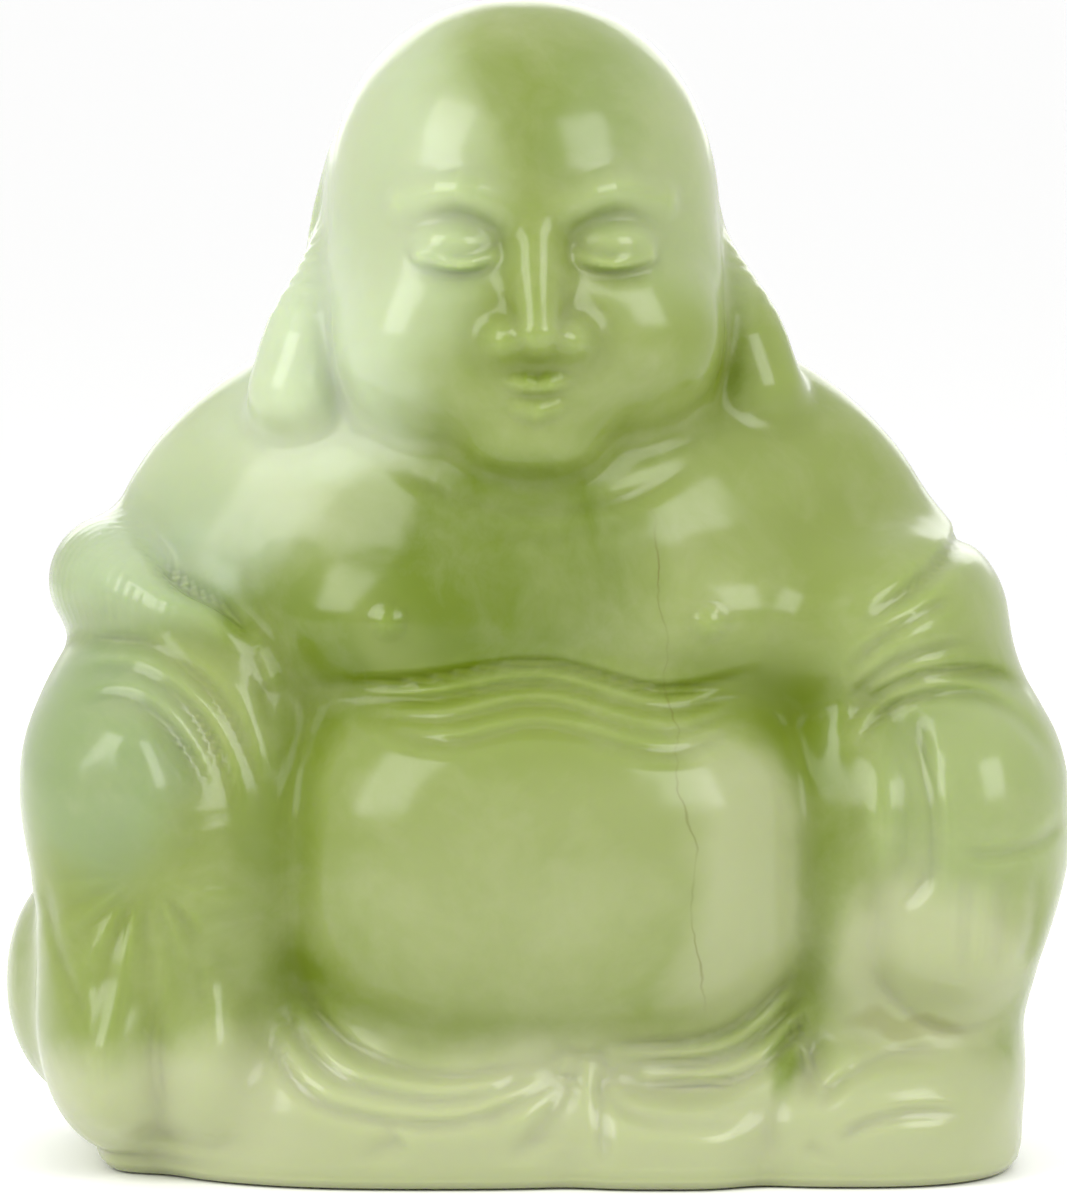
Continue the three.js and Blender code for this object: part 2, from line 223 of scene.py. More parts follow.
def bar(points, steps=3):
    """A round bar swept through rows of x, y, z and radius.

    On each short piece the nearest point is at t = (p - a).(b - a) / |b - a|^2, kept within
    0 to 1, and the distance is the gap to it less the radius there.
    """
    path = curve(points, steps).astype(np.float32)
    margin = path[:, 3].max() + FAR

    def distance(p):
        out = np.full(len(p), FAR, np.float32)
        near = inside_box(p, path[:, :3], margin)
        q = p[near]
        best = np.full(len(q), FAR, np.float32)
        for a, b in zip(path[:-1], path[1:]):
            run = (b - a)[:3]
            t = np.clip((q - a[:3]) @ run / (run @ run + 1e-9), 0, 1)
            gap = np.sqrt(((q - a[:3] - t[:, None] * run) ** 2).sum(1))
            best = np.minimum(best, gap - a[3] - t * (b[3] - a[3]))
        out[near] = best
        return out

    return distance


def blend(a, b, softness):
    """The smaller of two distances, less h^2 * softness / 4 where they differ by under softness."""
    h = np.maximum(softness - np.abs(a - b), 0) / softness
    return np.minimum(a, b) - h * h * softness * 0.25


def join(softness, *shapes):
    """Several shapes melted together."""

    def distance(p):
        out = shapes[0](p)
        for shape in shapes[1:]:
            out = blend(out, shape(p), softness)
        return out

    return distance


def cut(softness, body, tool):
    """The body with the tool's shape scooped out of it: the joined outsides, turned inside out."""
    return lambda p: -blend(-body(p), tool(p), softness)


def both_sides(shape):
    """The shape and its mirror image across x = 0."""
    return lambda p: shape(np.column_stack([np.abs(p[:, 0]), p[:, 1:]]))


def only_near(lowest, highest, shape):
    """The shape, asked only about points in a box around it. Elsewhere the answer is FAR."""
    box = np.array([lowest, highest], np.float32)

    def distance(p):
        out = np.full(len(p), FAR, np.float32)
        near = inside_box(p, box, 0)
        out[near] = shape(p[near])
        return out

    return distance


def ease(start, end, value):
    """0 at start, 1 at end, with t^2 (3 - 2t) between."""
    t = np.clip((value - start) / (end - start), 0, 1)
    return t * t * (3 - 2 * t)


trial = ball((0, 0, 0), (10, 10, 10))(np.array([[15.0, 0, 0], [5.0, 0, 0]], np.float32))
print("distance from a ball of radius 10, outside and inside:", trial.round(2))

# %% [markdown]
# ## The head
#
# The head is bald and full, and sits low on the chest with almost no neck. The face is a calm,
# general one on the proportions that drawing books teach: the closed eyes lie half way between
# crown and chin, the nose ends half way from there to the chin, and an eye's width fits five times
# across the head. It is made about its own axis, and then turned a few degrees.

# %% Skull, cheeks and features
CROWN = 60.0
CHIN = 35.6
HEAD_MIDDLE = np.array([-1.0, 0.0])
HEAD_TURN = math.radians(4)
EYE_LEVEL = (CROWN + CHIN) / 2
NOSE_LEVEL = (EYE_LEVEL + CHIN) / 2 + 1.2
EYE_OUT = 3.9


def head():
    """Skull and jowls, with cheeks, brows, lids, nose, lips and chin joined on."""
    skull = ball((0, -0.8, 48.7), (10.1, 10.6, CROWN - 48.7), 2.2)
    jowls = ball((0, -2.6, 42.2), (10.3, 8.8, 7.2), 2.3)
    cheeks = both_sides(ball((5.2, -7.6, 42.6), (4.1, 3.8, 3.8)))
    mouth_mound = ball((0, -10.2, 40.0), (3.8, 1.6, 2.2))
    chin = ball((0, -9.6, 37.4), (3.0, 2.2, 1.6))
    full = join(2.0, join(3.0, skull, jowls), cheeks, mouth_mound, chin)
    sockets = both_sides(ball((EYE_OUT, -12.9, EYE_LEVEL + 0.1), (2.7, 2.5, 1.6)))
    brows = both_sides(bar([(1.7, -10.8, 49.5, 0.15), (3.9, -10.8, 50.4, 0.3), (6.5, -9.0, 49.8, 0.15)]))
    bridge = bar([(0, -10.4, 48.6, 0.7), (0, -11.6, 46.2, 0.9), (0, -12.7, NOSE_LEVEL + 0.4, 1.15)])
    wings = both_sides(ball((1.5, -11.9, NOSE_LEVEL), (1.0, 1.2, 0.9)))
    lids = both_sides(ball((EYE_OUT, -9.6, EYE_LEVEL - 0.2), (2.15, 1.7, 1.35)))
    lashes = both_sides(bar([
        (2.1, -10.8, 47.0, 0.14), (EYE_OUT, -11.3, 46.7, 0.2), (5.7, -10.3, 47.1, 0.14)]))
    upper_lip = bar([
        (-3.1, -10.7, 41.1, 0.2), (-1.0, -11.8, 40.8, 0.5), (0, -11.95, 40.6, 0.42),
        (1.0, -11.8, 40.8, 0.5), (3.1, -10.7, 41.1, 0.2)])
    lower_lip = bar([(-2.6, -10.8, 40.4, 0.2), (0, -11.7, 39.3, 0.65), (2.6, -10.8, 40.4, 0.2)])
    browed = join(1.6, cut(1.8, full, sockets), brows, join(0.7, bridge, wings))
    return join(0.3, join(0.7, browed, lids, lashes), upper_lip, lower_lip)


def ears():
    """A flat ear with a rolled edge, and the long heavy lobe that rests on the shoulder."""
    flat = ball((8.3, 0.6, 48.0), (1.9, 3.2, 4.6))
    edge = bar([
        (9.0, -1.6, 46.4, 0.7), (8.7, -1.9, 48.8, 0.7), (8.6, -0.9, 51.0, 0.7), (9.0, 1.2, 51.8, 0.7),
        (9.6, 2.6, 50.0, 0.8), (10.0, 2.6, 47.8, 0.9), (9.9, 1.2, 46.0, 1.3)])
    lobe = bar([
        (9.1, 0.4, 47.2, 1.7), (9.8, -1.2, 45.0, 2.2), (10.8, -2.8, 42.6, 2.6), (11.7, -3.9, 39.9, 2.6)])
    grooves = [
        bar([(11.4 - step, -5.9, 44.2, 0.25), (12.4 - step, -7.0, 40.4, 0.25)])
        for step in (0, 1.1)]
    neck = ball((8.8, 0.6, 41.0), (4.2, 5.2, 5.4))
    full = join(0.9, flat, edge, lobe, neck)
    return both_sides(cut(0.3, cut(0.3, full, grooves[0]), grooves[1]))


def on_neck(shape):
    """The shape turned by HEAD_TURN about the upright line through HEAD_MIDDLE."""
    c, s = math.cos(HEAD_TURN), math.sin(HEAD_TURN)
    turn = np.array([[c, -s, 0], [s, c, 0], [0, 0, 1]], np.float32)
    middle = np.array([*HEAD_MIDDLE, 0], np.float32)
    return lambda p: shape((p - middle) @ turn)


whole_head = only_near((-17, -17, 30), (17, 17, 70), on_neck(join(0.9, head(), ears())))
print("eye level, mm:", EYE_LEVEL, " nose level, mm:", round(NOSE_LEVEL, 1))

# %% [markdown]
# ## The body
#
# Under the head come broad sloping shoulders, a soft chest and the big belly, which is nearly a
# rounded block. The arms are wrapped in the robe, which has slipped off the shoulders and lies in
# one thick roll around the arms and across the back. The left fist, on the viewer's left, holds the
# neck of a cloth sack, and the other hand rests on the knee.

# %% Chest, belly and lap
def torso():
    """Back, shoulders and chest as three big ellipsoids, with breasts and nipples."""
    back = ball((0, 2.6, 17), (20.5, 12.4, 24))
    shoulders = ball((-0.8, 1.6, 29.2), (22.1, 11.6, 15.6))
    chest = ball((0.3, -2.6, 28.5), (15.4, 9.0, 11.5))
    breasts = [ball((0.4 + side * 7.6, -5.2, 28.6), (7.4, 6.8, 4.8)) for side in (-1, 1)]
    nipples = [ball((0.4 + side * 8.1, -11.6, 28.6), (0.75, 0.7, 0.75)) for side in (-1, 1)]
    trunk = join(3.0, join(4.0, back, shoulders), chest)
    return join(0.5, join(1.6, trunk, *breasts), *nipples)


def belly():
    """One squarish ball, because the real one fills the space between the arms."""
    return ball((0.45, -5.4, 16.0), (14.2, 11.0, 10.3), 2.6)


def lap():
    """The crossed legs under the robe: a low block, a shin, a foot and the hem beside it."""
    crossed_legs = ball((0.6, 0.2, 3.6), (22.8, 12.8, 8.6), 2.9)
    right_foot = ball((15.9, -3.6, 2.4), (9.0, 11.0, 5.8), 2.6)
    left_shin = ball((-5.4, -6.8, 2.4), (13.6, 8.5, 6.0), 2.5)
    flap = ball((6.4, -9.2, 1.4), (5.0, 6.2, 3.3), 3.2)
    hem = ball((19.8, -1.4, 7.2), (5.2, 9.2, 5.0), 2.6)
    scoop = ball((13.6, -14.5, 7.0), (0.8, 3.4, 2.0))
    return cut(1.6, join(2.0, crossed_legs, right_foot, left_shin, flap, hem), scoop)


# %% Arms, robe roll and sack
def left_arm():
    """Sleeve, the robe that fills the space beside the belly, and the fist with its thumb."""
    sleeve = ball((-18.4, -1.2, 24.0), (6.6, 10.0, 6.4))
    robe = ball((-15.4, -4.6, 17.5), (4.2, 7.8, 11.0), 2.2)
    fist = ball((-21.0, -4.6, 19.6), (5.8, 9.0, 7.2), 2.2)
    knuckles = bar([(-20.6, -12.0, 22.0, 1.1), (-19.4, -12.5, 19.0, 1.3), (-19.0, -12.0, 16.2, 1.2)])
    thumb = bar([(-18.2, -11.0, 20.4, 0.9), (-17.3, -11.4, 17.6, 1.3), (-17.1, -11.6, 15.0, 1.5)])
    return join(1.8, sleeve, robe, fist, knuckles, thumb)


def right_arm():
    """Sleeve and robe again, then forearm, thumb and hanging fingers."""
    sleeve = ball((17.2, -1.2, 27.4), (7.1, 10.2, 6.0), 2.2)
    robe = ball((15.8, -4.4, 16.5), (3.8, 8.0, 11.0), 2.2)
    forearm = ball((21.6, -4.2, 17.9), (5.7, 9.6, 7.8), 2.3)
    thumb = ball((17.4, -5.6, 18.2), (2.8, 7.8, 5.8), 2.1)
    fingers = ball((20.6, -4.2, 13.2), (5.5, 9.4, 5.7), 2.3)
    return join(1.1, join(3.2, sleeve, forearm), robe, thumb, fingers)


def robe_roll():
    """A bar that starts thin in front of the left arm, swells around it and crosses the back."""
    return bar([
        (-14.2, -9.6, 25.6, 0.15), (-15.2, -9.4, 27.2, 0.4), (-16.8, -8.9, 28.3, 0.8),
        (-19.2, -7.9, 29.0, 1.3), (-21.4, -5.2, 29.8, 2.3), (-22.0, -1.8, 29.9, 3.3),
        (-21.8, 1.6, 29.7, 3.4), (-19.2, 5.8, 29.4, 3.0), (-15.0, 9.6, 28.6, 2.7),
        (-8.0, 12.4, 27.2, 2.5), (0.0, 13.2, 26.4, 2.4), (8.0, 12.4, 27.0, 2.5), (15.0, 9.4, 28.2, 2.8),
        (18.0, 5.2, 28.4, 3.0)], steps=6)


SACK_GRIP = (-20.0, 16.0)
SACK_FOLDS = 17
SACK_FOLD_DEPTH = 0.05


def sack():
    """A full bag under the fist that sags into two lobes, and its bulge behind.

    The folds are depth * cos(folds * turn), where turn is the angle around the grip, seen from
    the front. They grow with distance from the grip and fade out low on the bag.
    """
    bag = ball((-19.8, -5.2, 9.0), (6.2, 8.4, 8.4), 2.5)
    lobes = [ball((x, -9.6, 6.2), (2.7, 4.9, 4.4), 2.2) for x in (-21.6, -16.9)]
    full = join(1.4, bag, *lobes)
    behind = ball((-20.8, 3.0, 8.6), (7.2, 9.2, 7.2), 2.2)

    def folded(p):
        across = p[:, 0] - SACK_GRIP[0]
        down = SACK_GRIP[1] - p[:, 2]
        reach = np.hypot(across, down)
        wave = np.cos(np.arctan2(across, down) * SACK_FOLDS + 0.6)
        fade = ease(0.6, 3.0, reach) * ease(12.5, 7.0, reach) * ease(2.0, -2.0, p[:, 1])
        return full(p) + SACK_FOLD_DEPTH * wave * fade

    return join(1.4, folded, behind)


trunk = join(2.2, torso(), only_near((-20, -23, 0), (21, 12, 33), belly()))
holding = join(
    3.2,
    only_near((-34, -20, 0), (-5, 15, 38), left_arm()),
    only_near((-34, -21, -7), (-7, 19, 24), sack()),
)
blocked_out = join(
    2.2,
    trunk,
    only_near((-32, -22, -9), (31, 21, 20), lap()),
    holding,
    only_near((5, -20, 0), (34, 15, 42), right_arm()),
)
figure = join(1.3, blocked_out, robe_roll(), whole_head)
trial = figure(np.array([[0, 0, 10], [0, -40, 10]], np.float32))
print("inside is negative, outside positive:", trial.round(1))

# %% [markdown]
# ## Cut lines
#
# The carver's last step is to run a thin round burr along the folds. Seen from the front each line
# is a curve in x and z, so a cut is a push into the stone that is deepest on the curve and falls off
# to both sides like a bell. Folds that run together are made as a fan: the lines between a first
# and a last one. The same lines on the back are broader, because hidden sides are cut more plainly.

# %% A stroke and a fan of strokes
CUT_WIDTH = 0.45
CUT_DEPTH = 0.30
CUTS_BEGIN = (1.3, 2.8)
CUT_REACH = 2.4
SIDE_FADE = 3.0
END_FADE = 0.25


def stroke(points, width=CUT_WIDTH, depth=CUT_DEPTH, stops_at=2.0, mirrored=False):
    """depth * exp(-(gap / width)^2), where gap is the distance to the curve seen from the front.

    It fades over END_FADE of its length at either end, and over SIDE_FADE behind y = stops_at.
    """
    path = curve(points, 5).astype(np.float32)
    pieces = len(path) - 1

    def push(p):
        out = np.zeros(len(p), np.float32)
        x = np.abs(p[:, 0]) if mirrored else p[:, 0]
        flat = np.column_stack([x, p[:, 2]])
        near = inside_box(flat, path, CUT_REACH * width) & (p[:, 1] < stops_at + SIDE_FADE)
        q = flat[near]
        best = np.full(len(q), FAR, np.float32)
        share = np.zeros(len(q), np.float32)
        for i in range(pieces):
            run = path[i + 1] - path[i]
            t = np.clip((q - path[i]) @ run / (run @ run + 1e-9), 0, 1)
            gap = np.sqrt(((q - path[i] - t[:, None] * run) ** 2).sum(1))
            share = np.where(gap < best, (i + t) / pieces, share)
            best = np.minimum(best, gap)
        fade = ease(0, END_FADE, share) * ease(1, 1 - END_FADE, share)
        fade = fade * ease(stops_at + SIDE_FADE, stops_at, p[near, 1])
        out[near] = depth * np.exp(-((best / width) ** 2)) * fade
        return out

    return push


def fan(count, first, last, **how):
    """Strokes at equal steps between two curves that have the same number of points."""
    first, last = np.array(first, float), np.array(last, float)
    return [stroke(first + (last - first) * i / (count - 1), **how) for i in range(count)]


# %% The lines on the front, grouped by what they belong to
chest_lines = [
    *fan(4, [(-9.8, 23.8), (-4.8, 22.7), (0.2, 23.5), (6.6, 22.2), (11.4, 24.0)],
         [(-12.6, 25.2), (-6.4, 25.6), (0.0, 26.5), (6.4, 25.1), (12.0, 26.3)]),
    stroke([(-8.6, 37.0), (-4.6, 34.9), (0.0, 34.1), (4.6, 34.8), (8.4, 36.8)], width=0.6, depth=0.22),
    stroke([(-6.4, 34.4), (0.0, 32.8), (6.4, 34.2)], width=0.6, depth=0.12),
]
sleeve_lines = [
    *fan(3, [(-24.4, 26.2), (-22.1, 27.2), (-19.7, 27.0), (-17.0, 25.3), (-15.0, 22.2), (-13.9, 17.6)],
         [(-24.4, 23.9), (-22.2, 24.7), (-20.4, 24.5), (-19.0, 23.4), (-17.7, 21.6), (-16.6, 19.4)],
         width=0.55, depth=0.34),
    stroke([(-20.6, 31.2), (-18.6, 30.2), (-16.0, 28.7), (-14.2, 25.6), (-13.6, 21.6)], width=0.5, depth=0.2),
    stroke([(15.6, 28.2), (18.6, 29.9), (20.9, 31.6), (23.4, 32.6), (26.0, 33.2)], width=0.55, depth=0.45),
    stroke([(15.2, 25.4), (17.2, 27.6), (19.4, 29.0), (21.4, 29.8)], depth=0.24),
    stroke([(15.2, 23.8), (17.0, 25.8), (18.8, 26.8), (22.4, 27.6)], depth=0.26),
    stroke([(14.8, 22.2), (16.4, 24.2), (18.3, 25.5), (20.6, 26.0), (23.3, 25.6), (25.6, 24.0)], depth=0.26),
    stroke([(15.2, 20.8), (17.4, 23.9), (20.3, 24.9), (22.7, 24.5), (25.0, 22.8), (26.7, 20.1)], depth=0.2),
]
waist_lines = [
    *fan(3, [(-12.4, 10.4), (-10.6, 7.8), (-8.0, 6.4), (-4.0, 5.8), (1.4, 6.8)],
         [(-14.2, 8.0), (-12.2, 5.2), (-9.3, 3.9), (-4.0, 3.6), (1.4, 5.8)], depth=0.28),
    *fan(3, [(2.6, 7.3), (7.9, 7.4), (10.9, 8.8), (13.2, 11.0)],
         [(3.4, 5.4), (9.0, 5.2), (12.0, 6.6), (14.0, 9.0)], depth=0.28),
]
skirt_lines = [
    stroke([(3.0, 6.0), (3.1, 3.4), (3.2, -0.5)], depth=0.2),
    *fan(3, [(1.8, 7.4), (0.0, 6.0), (-2.6, 5.2)], [(2.4, 7.4), (3.6, 6.0), (5.6, 5.4)],
         width=0.55, depth=0.14),
    stroke([(2.0, 6.4), (0.4, 3.6), (-2.1, 0.2)], width=0.8, depth=0.4),
    stroke([(1.6, 6.2), (-0.8, 4.6), (-3.4, 3.2)], width=0.5, depth=0.2),
    stroke([(-6.8, 3.2), (-8.0, 2.0), (-9.8, 0.4)], width=0.8),
    *fan(2, [(2.4, 6.2), (4.4, 5.0), (7.6, 4.9), (10.6, 5.1)],
         [(2.4, 6.0), (4.4, 4.0), (7.6, 3.4), (10.4, 3.6)], depth=0.18),
    stroke([(12.2, 5.4), (11.6, 2.4), (11.8, -0.6)], width=0.6, depth=0.14),
]
hand_lines = [
    stroke([(19.0, 24.6), (19.4, 21.6), (19.8, 18.3), (19.5, 15.9), (17.8, 13.6)], width=0.5, depth=0.24),
    stroke([(16.6, 11.4), (17.8, 9.6), (19.6, 8.1), (21.8, 7.7), (24.4, 8.7)], depth=0.12),
    stroke([(20.9, 17.2), (22.9, 17.0), (25.3, 17.5), (26.8, 18.6)], depth=0.16),
    *fan(3, [(21.6, 16.6), (21.4, 13.0), (21.4, 10.2)],
         [(25.2, 16.8), (25.0, 13.0), (24.4, 10.8)], depth=0.12),
]
foot_lines = [
    *fan(2, [(13.8, 4.1), (15.4, 5.5), (17.7, 6.5), (21.2, 6.7)],
         [(14.8, 2.4), (16.4, 3.4), (18.7, 3.9), (21.8, 3.8)], depth=0.26),
    stroke([(13.0, 2.4), (14.4, 1.6), (16.0, 0.6)], depth=0.2),
]
sack_lines = [
    stroke([(-20.0, 15.0), (-19.5, 9.0), (-19.2, 1.6)], width=0.6, depth=0.14),
    stroke([(-20.6, 15.6), (-21.8, 11.0), (-22.8, 6.6)], depth=0.10),
    stroke([(-18.8, 15.6), (-17.6, 12.0), (-16.8, 8.0)], depth=0.10),
    stroke([(-25.4, 15.8), (-24.6, 12.2), (-22.8, 8.0)], depth=0.14),
    stroke([(-24.2, 4.4), (-21.8, 1.9), (-19.3, 2.5), (-16.8, 1.6), (-15.0, 3.2)], width=0.8, depth=0.3),
]
front_lines = [
    *chest_lines, *sleeve_lines, *waist_lines, *skirt_lines, *hand_lines, *foot_lines, *sack_lines]
print("strokes on the front:", len(front_lines))

# %% Broader folds and a hem on the back
BACK_FOLD_PLACES = [(2.0, 3.4), (7.2, 9.4), (12.4, 15.8)]
back_lines = [
    stroke(
        [(top, 26.0), ((top + foot) / 2 - 0.4, 16.0), (foot, 2.6)],
        width=1.0, depth=0.75, stops_at=-3.0, mirrored=True)
    for top, foot in BACK_FOLD_PLACES
]
back_lines.append(stroke([(-22, 3.6), (-10, 2.7), (0, 3.2), (10, 2.7), (22, 3.4)], width=0.5, stops_at=-1.0))


def carved(p):
    """The blocked-out figure with every line cut: pushes are added to the distance.

    They grow from nothing between the two heights of CUTS_BEGIN, so the rounded foot stays whole.
    """
    from_behind = p * np.array([1, -1, 1], np.float32)
    pushes = sum(line(p) for line in front_lines) + sum(line(from_behind) for line in back_lines)
    return figure(p) + pushes * ease(*CUTS_BEGIN, p[:, 2])


print("strokes on the back:", len(back_lines))

# %% [markdown]
# ## The skin
#
# The skin is a grid: columns go round the figure and rows go up it, so it is a function of two
# numbers, turn and level. A ray leaves the long axis of an oval at right angles to that oval, and
# the skin's point is where the ray last leaves the stone. Up on the head the oval becomes a circle,
# and over the crown the rays tilt upwards. Rays alone leave long stretched faces inside the grooves,
# so the points then slide toward the middle of their neighbours, staying on the stone.

# %% Rays: one for every turn and level
OVAL_WIDTH = 25.0
OVAL_DEPTH = 15.0
RIM = 1.2
SHOULDER = 34.0
DOME = 50.3
FRONT_DENSITY = 2.0
FRONT_EDGE = (-0.1, 0.6)
NECK = (30, 42)
BODY_MIDDLE, HEAD_FORWARD = 0.6, 1.2
FINE_TURNS = 4001
COLUMNS = 160
BODY_ROWS, HEAD_ROWS, DOME_ROWS = 76, 50, 26


def turns(count):
    """Angles spread evenly along the oval's edge, FRONT_DENSITY times closer together in front."""
    t = np.linspace(-np.pi, np.pi, FINE_TURNS)
    pace = np.hypot(OVAL_WIDTH * np.cos(t), OVAL_DEPTH * np.sin(t))
    pace *= 1 + (FRONT_DENSITY - 1) * ease(*FRONT_EDGE, np.cos(t))
    run = np.concatenate([[0], np.cumsum((pace[1:] + pace[:-1]) / 2)])
    return np.interp(np.linspace(0, run[-1], count, endpoint=False), run, t)


def rays():
    """Start and direction of the ray for each (level, turn).

    For an oval of half width a and half depth b, the start is (a^2 - b^2) / a * sin(turn) along
    the long axis and the direction is (b / a * sin(turn), -cos(turn)), made one long.
    """
    turn = turns(COLUMNS)[None]
    level = np.concatenate([
        np.linspace(RIM, SHOULDER, BODY_ROWS, endpoint=False),
        np.linspace(SHOULDER, DOME, HEAD_ROWS),
        np.full(DOME_ROWS, DOME)])[:, None]
    rise = np.concatenate([
        np.zeros(BODY_ROWS + HEAD_ROWS),
        np.linspace(0, np.pi / 2, DOME_ROWS + 2)[1:-1]])[:, None]
    slim = ease(*NECK, level)
    half = OVAL_WIDTH + (OVAL_DEPTH - OVAL_WIDTH) * slim
    foot = (half ** 2 - OVAL_DEPTH ** 2) / half
    everywhere = np.zeros_like(level + turn)
    side = HEAD_MIDDLE[0] * slim + foot * np.sin(turn)
    depth = BODY_MIDDLE - HEAD_FORWARD * slim + everywhere
    start = np.stack([side, depth, level + everywhere], -1)
    across, along = OVAL_DEPTH / half * np.sin(turn), -np.cos(turn) + everywhere
    flat = np.cos(rise) / np.hypot(across, along)
    way = np.stack([across * flat, along * flat, np.sin(rise) + everywhere], -1)
    return start.astype(np.float32), way.astype(np.float32)


# %% Walk in from outside to the first stone
OUTSIDE = 24.0
STRIDE = 0.25
HALVINGS = 12
STEPS_BACK = 6


def first_stone(shape, start, way):
    """Distance along each ray to the stone, walked inward in strides, then halved to the place."""
    size = start.shape[:-1]
    start, way = start.reshape(-1, 3), way.reshape(-1, 3)
    reach = np.full(len(start), OUTSIDE, np.float32)
    walking = np.arange(len(start))
    while len(walking):
        gap = shape(start[walking] + way[walking] * reach[walking, None])
        going = (gap > 0) & (reach[walking] > STRIDE)
        walking, gap = walking[going], gap[going]
        reach[walking] -= np.maximum(STRIDE, gap * 0.5)
    inner, outer = reach.copy(), reach + STRIDE
    for _ in range(STEPS_BACK):
        outer += STRIDE * (shape(start + way * outer[:, None]) < 0)
    for _ in range(HALVINGS):
        middle = (inner + outer) / 2
        outside = shape(start + way * middle[:, None]) > 0
        inner = np.where(outside, inner, middle)
        outer = np.where(outside, middle, outer)
    return inner.reshape(size)


RIM_ANGLES = (90, 60, 30)


def rim_rows(edge, way):
    """Rows that round the lowest edge: in by RIM (1 - cos), down to RIM (1 - sin)."""
    rows = []
    for angle in np.radians(RIM_ANGLES):
        row = edge - way * RIM * (1 - math.cos(angle))
        row[:, 2] = RIM * (1 - math.sin(angle))
        rows.append(row)
    return np.array(rows, np.float32)


start, way = rays()
skin = start + way * first_stone(figure, start, way)[..., None]
skin = np.concatenate([rim_rows(skin[0], way[0]), skin])
print("first net:", skin.shape[:2], "points")

# %% Slide the points along the stone, then make the net twice as fine
NUDGE = 0.04
FLATTEST_PRESS, FLATTEST_SLIDE = 0.3, 0.15
COARSE_RIM = len(RIM_ANGLES) + 1
FINE_RIM = 2 * COARSE_RIM - 1


def uphill(shape, p, here):
    """The slope of the distance, from three small steps along x, y and z."""
    steps = np.eye(3, dtype=np.float32) * NUDGE
    return np.stack([shape(p + step) - here for step in steps], 1) / NUDGE


def back_onto(shape, p, longest=0.6):
    """p - distance * slope / |slope|^2, at most `longest` at a time."""
    here = shape(p)
    way = uphill(shape, p, here)
    size = np.maximum((way ** 2).sum(1), FLATTEST_PRESS)
    return p - np.clip(here / size, -longest, longest)[:, None] * way


def settle(net, shape, rim, rounds, pace=0.5):
    """Moves each point by pace times the way to its four neighbours' middle, along the surface.

    The lowest rows, as many as rim says, stay where they are.
    """
    crown = np.array([*HEAD_MIDDLE, CROWN], np.float32)
    for _ in range(rounds):
        above = np.concatenate([net[1:], np.broadcast_to(crown, net[:1].shape)])
        below = np.concatenate([net[:1], net[:-1]])
        middle = (np.roll(net, 1, 1) + np.roll(net, -1, 1) + above + below) / 4
        p = net[rim:].reshape(-1, 3)
        pull = (middle[rim:].reshape(-1, 3) - p) * pace
        way = uphill(shape, p, shape(p))
        size = np.maximum((way ** 2).sum(1, keepdims=True), FLATTEST_SLIDE)
        p = p + pull - (pull * way).sum(1, keepdims=True) / size * way
        p = back_onto(shape, back_onto(shape, p))
        net = np.concatenate([net[:rim], p.reshape(net[rim:].shape)])
    return net


def twice_as_fine(net):
    """Puts a point half way between neighbours, first round the columns and then up the rows."""
    wide = np.stack([net, (net + np.roll(net, -1, 1)) / 2], 2).reshape(len(net), -1, 3)
    between = (wide[:-1] + wide[1:]) / 2
    tall = np.empty((2 * len(wide) - 1, wide.shape[1], 3), np.float32)
    tall[0::2], tall[1::2] = wide, between
    return tall


skin = settle(skin, figure, COARSE_RIM, rounds=20)
skin = twice_as_fine(skin)
print("fine net:", skin.shape[:2], "points")

# %% Lay the fine net onto the carved form
skin = settle(skin, figure, FINE_RIM, rounds=2)
skin = settle(skin, carved, FINE_RIM, rounds=2, pace=0.4)
for _ in range(2):
    upper = back_onto(carved, skin[FINE_RIM:].reshape(-1, 3), longest=0.2)
    skin = np.concatenate([skin[:FINE_RIM], upper.reshape(skin[FINE_RIM:].shape)])
print("carved box, mm:", skin.reshape(-1, 3).min(0).round(1), skin.reshape(-1, 3).max(0).round(1))

# %% [markdown]
# ## Where the surface is hollow
#
# A polishing wheel rides over the high places and hardly reaches into the grooves, so they mirror
# less. In a translucent stone the grooves also look deeper green, because light that leaves one wall
# enters the other. Here that is painted shade: the colour is darkened towards deep green in the
# grooves. So each point is given one number, how hollow its place is, for the material to read.

# %% Measure the hollows
HOLLOW_REACHES = (0.8, 3.0)
SHORTEST_SLOPE = 0.1


def outward(p):
    """The slope of the distance made one long, which points straight out of the stone."""
    way = uphill(carved, p, carved(p))
    return way / np.maximum(np.linalg.norm(way, axis=1, keepdims=True), SHORTEST_SLOPE)


def hollowness(p, normals):
    """1 - distance(p + h n) / h, averaged over the reaches h, where n is the normal.

    Over flat stone a point raised by h is h away from it, so the answer is 0. In a groove the
    walls are nearer than that, and the answer grows.
    """
    shares = [1 - carved(p + h * normals) / h for h in HOLLOW_REACHES]
    return np.clip(np.mean(shares, 0), 0, 1)


points = skin.reshape(-1, 3)
normals = outward(points)
hollow = hollowness(points, normals)
print("hollow: middle", np.median(hollow).round(2), " deepest tenth", np.quantile(hollow, 0.9).round(2))

# %% [markdown]
# ## From points to a mesh
#
# Four neighbouring points make a square that can be cut along either diagonal. Where a thin groove
# runs aslant, the wrong diagonal crosses it and leaves a row of stitches, so the diagonal whose
# middle lies closer to the stone is taken. The shading then follows the true slope of the stone
# at every point, and not an average of the small faces around it.

